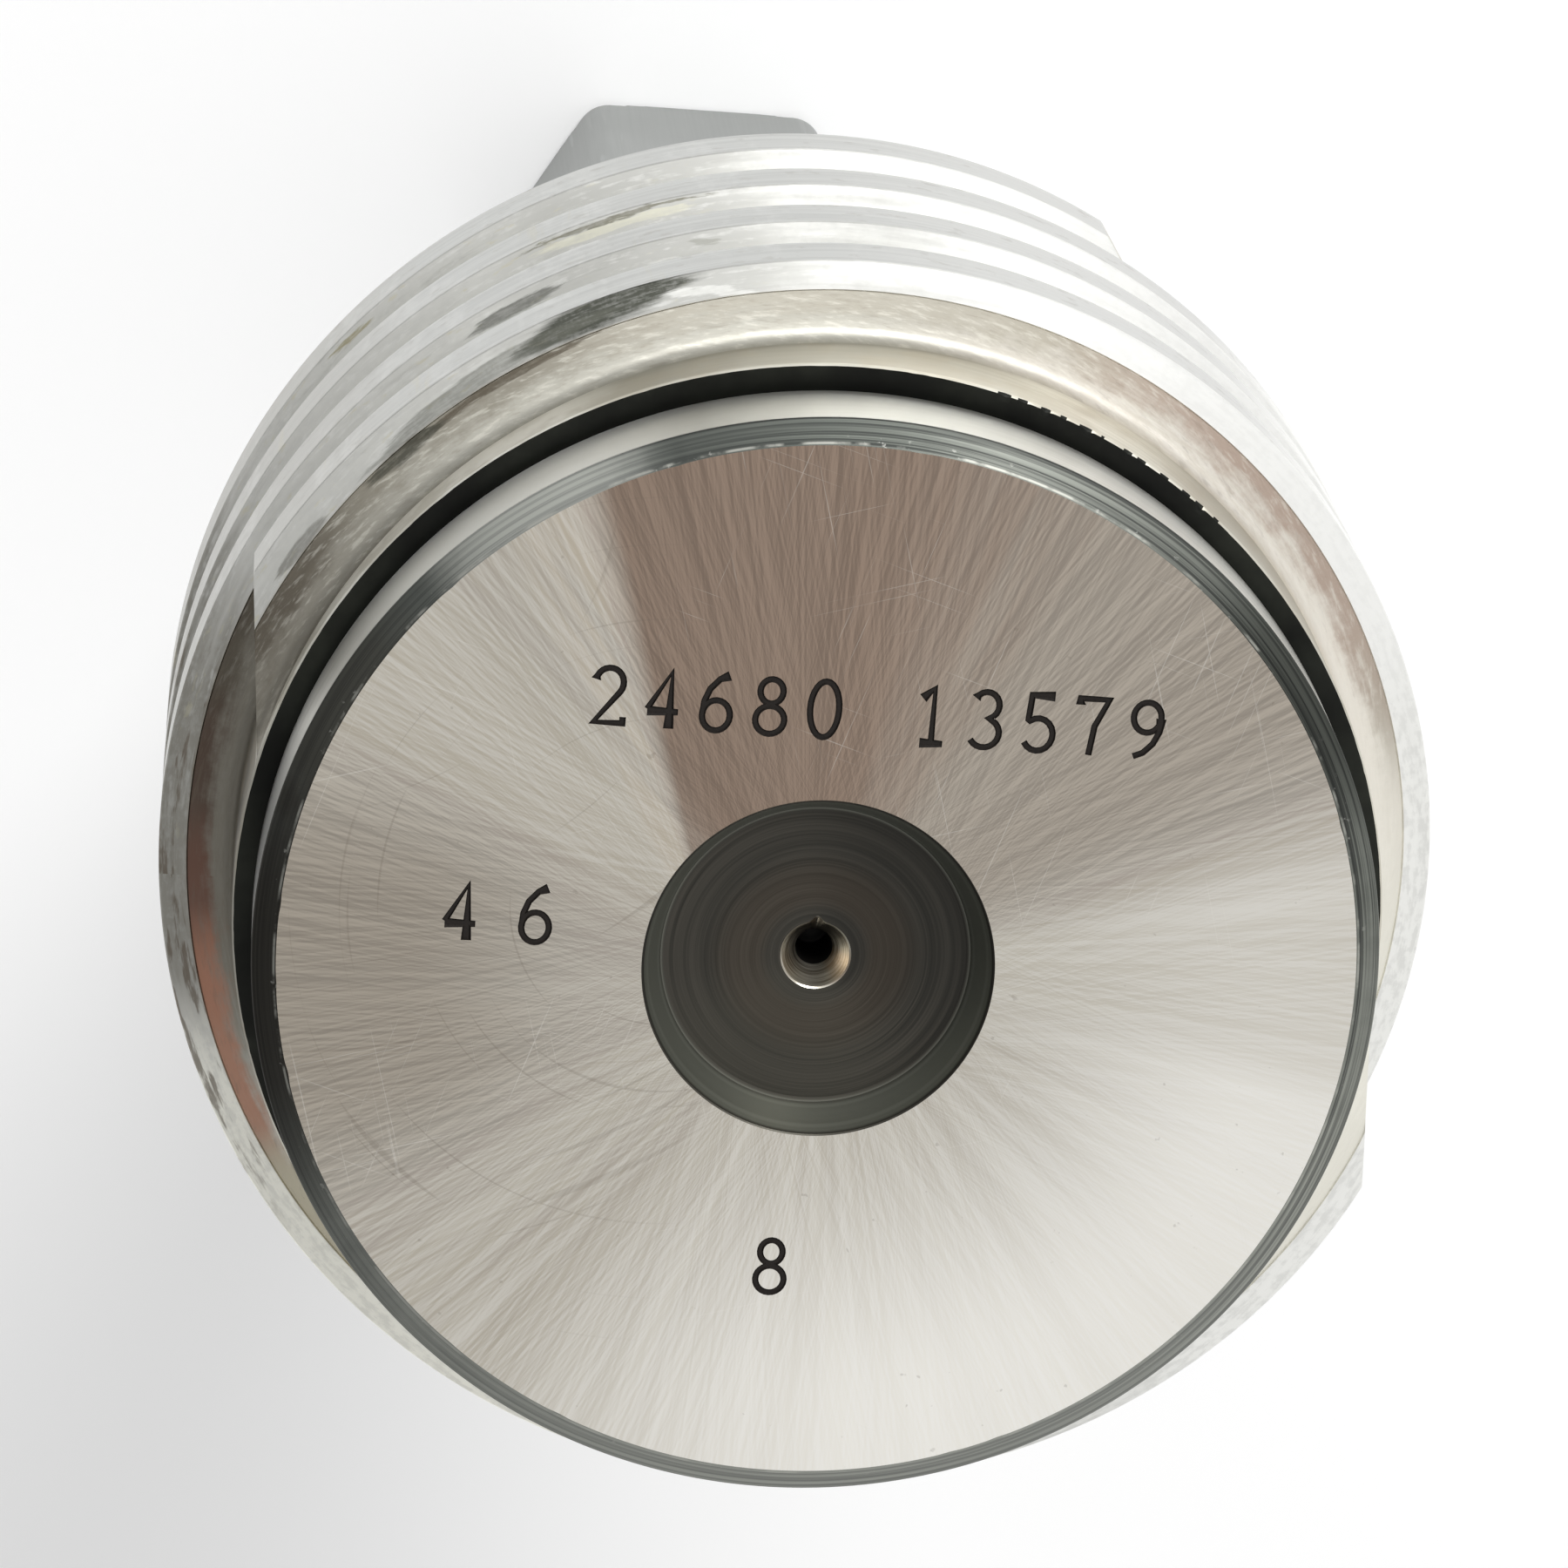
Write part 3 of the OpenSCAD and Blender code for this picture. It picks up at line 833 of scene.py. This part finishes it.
def flankFinish():
    f, colour, fine, broad = groundBand("groundFlank", (204, 204, 200), (232, 232, 228), "helix", 5.0)
    # Painted light and shade by direction: near white toward -12, 46 and 225 degrees, greyer near 104 to 122
    # degrees, darker toward the left
    colour = f.around(colour, "groundFlank", (f.wisps(0.1, 1.6) - 0.5) * 5)
    faint = f.step(f.wisps(0.5, 3.0) * 0.6 + f.noise(f.at, 1.6, 5) * 0.4, 0.44, 0.60)
    colour = f.mix(faint * (0.3 - 0.2 * f.sector(46, 40, 20)), colour, (188, 188, 184))
    colour = layMarksAndShadow(f, film(f, colour, 0.45))
    lowest = (1 - f.step(f.r, 37.0, 37.2)) * (1 - f.sector(5, 105, 75))
    colour = f.mix(lowest * 0.4, colour, (150, 140, 120))
    return f.finished(colour, 0.3 + fine * 0.15, 1.0, fine + broad, 0.2, 0.012)


def crestFinish():
    f, colour, fine, broad = groundBand("groundCrest", (180, 181, 178), (200, 201, 198), "helix", 8.0)
    # Painted light and shade by direction: near white toward the right, greyer toward the upper left
    colour = f.around(colour, "crest", (broad - 0.5) * 3)
    colour = film(f, colour, 0.25)
    scuffed = f.noise(f.vector(f.angle * 0.5, f.z * 1.1, f.r), detail=4)
    colour = f.mix(f.step(scuffed, 0.58, 0.70) * 0.3, colour, (150, 146, 136))
    return f.finished(colour, 0.32 + fine * 0.16, 1.0, fine + broad, 0.2, 0.012, Anisotropic=0.3)


def flatFinish():
    f = Finish("milledFlat").place()
    lines = f.linesOver(f.z, 7, 0.2, 3)
    stain = f.step(f.noise(f.at, 0.5, 4), 0.40, 0.75)
    colour = f.mix(lines, (184, 180, 169), (212, 209, 199))
    colour = f.mix(stain * 0.3, colour, (150, 138, 122))
    return f.finished(colour, 0.36 + stain * 0.15, 0.95, lines, 0.3, 0.015)


def recessFinish():
    # Dark turned floor with a browner ring round the centre hole, and a paler stepped wall
    f = Finish("darkRecess").place()
    ring, fine = f.faceRings(3.2), f.faceRings(9.0)
    wave = f.noise(f.vector(0.0, 0.0, f.r * 1.1), detail=2)
    tone = f.step(ring * 0.4 + fine * 0.3 + wave * 0.3, 0.34, 0.66)
    # The floor's tones by direction are painted shade toward the upper right and painted light toward the
    # bottom
    colour = f.around(f.mix(tone, (46, 45, 41), (72, 69, 63)), "recess")
    brown = f.step(f.r, 2.6, 3.6) * (1 - f.step(f.r, 4.6, 6.6))
    colour = f.mix(brown * 0.25, colour, (82, 70, 58))
    wall = f.step(f.r, 8.9, 9.3) - f.step(f.r, 10.1, 10.24)
    colour = f.mix(wall * 0.9, colour, (130, 132, 122))
    steps = f.calc("SINE", f.r * 9.0)
    colour = f.mix(wall * f.step(steps, 0.7, 1.0) * 0.3, colour, (158, 161, 150))
    # Painted glints on the rings toward the lower right, off the wall
    glint = f.sector(-60, 60) * f.step(fine, 0.5, 0.7) * (1 - wall)
    colour = f.mix(glint * 0.15, colour, (104, 98, 88))
    return f.finished(colour, 0.42 - tone * 0.06, 0.85, ring + fine + wave, 0.2, 0.02)


def coneFinish():
    f = Finish("brightCentreCone").place()
    lines = f.linesOver(f.z, 12, 0.3, 3)
    colour = f.mix(f.step(lines, 0.35, 0.65), (150, 142, 128), (214, 210, 198))
    # Painted light and shade by direction: dark at the top, lighter and warmer toward the right
    colour = f.around(colour, "cone")
    return f.finished(colour, 0.26 + lines * 0.12, 1.0, lines, 0.3, 0.01)


def engravingFinish():
    f = Finish("darkEngraving").place()
    grit = f.noise(f.at, 6.0, 3)
    colour = f.mix(grit, (14, 11, 9), (40, 33, 28))
    return f.finished(colour, 0.55 + grit * 0.15, 0.5, grit, 0.5, 0.02)


def shankFinish():
    f, colour, fine, broad = groundBand("groundShank", (196, 195, 188), (216, 215, 208), "ring", 9.0)
    return f.finished(colour, 0.3 + fine * 0.12, 1.0, fine, 0.2, 0.012)


def plugFinishes():
    made = {
        "face": faceFinish(), "chamfer": chamferFinish(), "pilot": pilotFinish(),
        # The groove's near-black is its oxide, painted darker still for the shade inside the undercut
        "groove": darkTurned("blackGroove", (14, 15, 12), (40, 42, 36), "ring", 0.6, 9.0, 0.5, 0.7),
        "root": rootFinish(), "lowerFlank": lowerFlankFinish(), "groundFlank": flankFinish(),
        "crest": crestFinish(), "flat": flatFinish(), "recess": recessFinish(), "cone": coneFinish(),
        "drill": darkTurned("drilledHole", (10, 9, 8), (30, 27, 23), "ring", 1.0, 6.0, 0.55, 0.6),
        "back": darkTurned("turnedBack", (138, 136, 130), (190, 188, 181), "face", 0.2, 2.6, 0.36, 0.95),
        "shank": shankFinish(), "engraving": engravingFinish(),
    }
    return [made[name] for name in zones]


def zoneOfCut(face):
    # Boolean cuts leave their walls without a zone of their own
    radius = math.hypot(face.center.x, face.center.y)
    below = gaugeHeight - face.center.z
    onFace = marks["innerRadius"] < radius < marks["outerRadius"]
    if onFace and marks["shallowest"] < below < marks["deepest"]:
        return zoneIndex["engraving"]
    if radius < plug["shank"] + 0.1 and below > plug["backDepth"] + 0.5:
        return zoneIndex["shank"]
    return face.material_index


def buildPlug():
    piece = skin("plug_body", plugColumns(), nextTurn)
    for material in plugFinishes():
        piece.data.materials.append(material)
    carve(piece, markCutters() + [pinCutter(plug["crossCut"])])
    for face in piece.data.polygons:
        face.material_index = zoneOfCut(face)
    crisp(piece)
    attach(piece, "root")
    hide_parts("gauge_plug")
    print("plug_body is made, faces:", len(piece.data.polygons))


handle = dict(flats=30.0, edgeRound=2.3, facing=85.2, endRound=0.6, bore=9.02, boreSpare=2.0,
              mouth=0.6, pinFromFront=18.0, crossCut=40, rings=(95, 80, 60, 40, 20, 8),
              halfSide=30, edgeSteps=12, flatSteps=10, endSteps=8)


def edgeCentre():
    # Distance from the axis to the middle of a long edge's rounding
    return (handle["flats"] / 2 - handle["edgeRound"]) / math.cos(math.radians(handle["halfSide"]))


def barOutline():
    # Angles and radii round the hexagonal bar, with its six long edges rounded
    half, size, steps = handle["halfSide"], handle["edgeRound"], handle["flatSteps"]
    outline = []
    for corner in range(6):
        middle = handle["facing"] + half + 2 * half * corner
        c, s = unit(middle)
        outline.append(arc(edgeCentre() * c, edgeCentre() * s, size, size, middle - half, middle + half,
                           handle["edgeSteps"]))
    points = []
    for edge, following in zip(outline, outline[1:] + outline[:1]):
        (x0, y0), (x1, y1) = edge[-1], following[0]
        points += edge + [(x0 + (x1 - x0) * k / steps, y0 + (y1 - y0) * k / steps) for k in range(1, steps)]
    return [(math.degrees(math.atan2(y, x)), math.hypot(x, y)) for x, y in points]


def endLimits():
    # Rise from the bar's end, and the radius that the turned corner leaves there
    corner, size, steps = edgeCentre() + handle["edgeRound"], handle["endRound"], handle["endSteps"]
    flat = corner - size / math.tan(math.radians(handle["halfSide"]))
    domeAt = (corner ** 2 - flat ** 2 + size ** 2) / 2 / size
    rises = [size * k / steps for k in range(steps + 1)]
    return [(rise, math.sqrt(flat ** 2 + domeAt ** 2 - (domeAt - rise) ** 2)) for rise in rises]


def barColumns():
    # Zones: 0 the bar, 1 its bore, 2 its turned ends
    h, limits = handle, list(enumerate(endLimits()))
    length = gaugeHeight - plug["backDepth"]
    boreEnd = length - plug["shankLength"] - h["boreSpare"]
    columns = []
    for angle, radius in barOutline():
        points = [("borePole", 0, boreEnd, 1), ("boreEnd", h["bore"], boreEnd, 1),
                  ("boreTop", h["bore"], length - h["mouth"], 1),
                  ("mouth", h["bore"] + h["mouth"], length, 2)]
        points += [(("front", i), min(radius, limit), length - rise, 0) for i, (rise, limit) in limits]
        points += [(("side", i), radius, z, 0) for i, z in enumerate(h["rings"])]
        points += [(("end", i), min(radius, limit), rise, 0 if i else 2) for i, (rise, limit) in limits[::-1]]
        points.append(("endPole", 0, 0, 2))
        column = Column(angle)
        for label, reach, z, zone in points:
            column.add(label, reach, gaugeHeight - z, zone)
        columns.append(column)
    return columns


def barFinish():
    f = Finish("satinBar").place()
    # The bar's drawn lines run along it: slow along the axis, quick across it
    drawn, fine = f.linesOver(f.z, 0.03, 3.2), f.linesOver(f.z, 0.12, 9, 3)
    cloud = f.noise(f.at, 0.06, 3)
    streaks = f.step(drawn * 0.4 + fine * 0.6, 0.34, 0.66)
    colour = f.mix(streaks, (157, 159, 157), (164, 166, 164))
    colour = f.mix(f.step(cloud, 0.42, 0.66) * 0.3, colour, (150, 152, 150))
    scuffs = f.scratches((8, 74, 118), 2.2, 0.09, 0.74)
    colour = f.mix(scuffs * 0.25, colour, (192, 195, 195))
    return f.finished(colour, 0.46 + fine * 0.12, 0.75, drawn + fine, 0.1, 0.01)


def barEndFinish():
    f = Finish("turnedBarEnd").place()
    ring, fine = f.faceRings(3.0), f.faceRings(9.0)
    colour = f.mix(f.step(ring * 0.5 + fine * 0.5, 0.36, 0.64), (142, 146, 146), (176, 179, 179))
    return f.finished(colour, 0.36 + fine * 0.1, 0.8, ring + fine, 0.35, 0.02)


def boreFinish():
    f = Finish("reamedBore").place()
    ring = f.ringLines(4.0)
    colour = f.mix(ring, (120, 124, 126), (164, 168, 170))
    return f.finished(colour, 0.42 + ring * 0.1, 0.85, ring, 0.3, 0.02)


def buildHandle():
    piece = skin("handle_bar", barColumns())
    for material in (barFinish(), boreFinish(), barEndFinish()):
        piece.data.materials.append(material)
    carve(piece, [pinCutter(handle["crossCut"])])
    crisp(piece)
    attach(piece, "root")
    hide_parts("hex_handle")
    print("handle_bar is made, faces:", len(piece.data.polygons))


def dressPin():
    # The cross pin keeps its solid and gets a ground finish
    f = Finish("groundPin").place()
    lines = f.noise(f.vector(f.x * 0.5, f.y * 5, f.z * 5), detail=3)
    patch = f.noise(f.at, 0.9, 3)
    colour = f.mix(lines, (140, 142, 142), (186, 187, 184))
    colour = f.mix(f.step(patch, 0.55, 0.7) * 0.5, colour, (104, 98, 88))
    material = f.finished(colour, 0.34 + patch * 0.14, 1.0, lines + patch, 0.3, 0.015)
    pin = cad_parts["locking_pin"]
    for holder in pin.material_slots:
        holder.material = material
    if not pin.material_slots:
        pin.data.materials.append(material)
    print("locking_pin is dressed")


studio = dict(floorSize=4.0, floorDrop=0.0002, floorShade=(250, 250, 250), floorGlow=0.03,
              skyLow=0.33, skyHigh=0.9,
              keyPlace=(286, 614, 735), keyAim=(0, 0, 120), keySize=0.34, keyPower=5.2)


def buildFloor():
    bm = bmesh.new()
    bmesh.ops.create_grid(bm, x_segments=8, y_segments=8, size=studio["floorSize"] / 2)
    floor = linked("studio_floor", meshFrom(bm, "studio_floor"))
    floor.location.z = -studio["floorDrop"]
    f = Finish("paleFloor")
    camera = f.node("LightPath", output="Is Camera Ray")
    mirrored = camera.other("Is Glossy Ray") + camera.other("Is Transmission Ray")
    seen = f.calc("ADD", camera, mirrored, clamp=True)
    matt = f.node("BsdfDiffuse", None, {"Color": paint(*studio["floorShade"])})
    glow = f.node("Emission", None, {"Color": (1, 1, 1, 1), "Strength": 1.0})
    surface = f.node("MixShader", None, {0: seen * studio["floorGlow"], 1: matt, 2: glow})
    f.node("OutputMaterial", None, {"Surface": surface})
    floor.data.materials.append(f.material)


def buildKey():
    lamp = bpy.data.lights.new("keySoftbox", "AREA")
    lamp.shape, lamp.size, lamp.energy = "DISK", studio["keySize"], studio["keyPower"]
    holder = linked("keySoftbox", lamp)
    holder.location = Vector(studio["keyPlace"]) * mm
    away = holder.location - Vector(studio["keyAim"]) * mm
    holder.rotation_euler = away.to_track_quat("Z", "Y").to_euler()


def buildSky():
    # A soft room, brighter above, to the right and along the two long walls
    world = bpy.data.worlds.new("softRoom")
    world.use_nodes = True
    bpy.context.scene.world = world
    f = Finish("softRoom", world.node_tree)
    x = f.node("SeparateXYZ", None, {0: f.node("TexCoord", output="Generated")})
    y, z = x.other(1), x.other(2)
    lit = x * 0.6 + z * 0.5 + y * y * 0.5 + y * 0.1
    level = f.step(lit, -0.3, 0.75, studio["skyLow"], studio["skyHigh"])
    back = f.node("Background", None, {"Color": (1, 1, 1, 1), "Strength": level})
    f.node("OutputWorld", None, {"Surface": back})


# The camera's place is measured from the middle of the front face
view = dict(place=(-26.02, 139.34, 406.46), right=(0.99826, 0.0, 0.05897),
            up=(0.01768, 0.95398, -0.29934), back=(-0.05626, 0.29986, 0.95232),
            focal=8477.604, image=1800.0, sensor=36.0, nearest=0.01, farthest=20)


def buildCamera():
    data = bpy.data.cameras.new("camera")
    data.sensor_fit, data.sensor_width = "HORIZONTAL", view["sensor"]
    data.lens = view["focal"] / view["image"] * view["sensor"]
    data.clip_start, data.clip_end = view["nearest"], view["farthest"]
    camera = linked("camera", data)
    turn = Matrix((view["right"], view["up"], view["back"])).transposed().to_4x4()
    place = (Vector(view["place"]) + Vector((0, 0, gaugeHeight))) * mm
    camera.matrix_world = Matrix.Translation(place) @ turn
    bpy.context.scene.camera = camera


buildCamera()
buildFloor()
buildSky()
buildKey()
print("studio is set")
buildPlug()
buildHandle()
dressPin()

bpy.context.scene.view_settings.view_transform = "Standard"
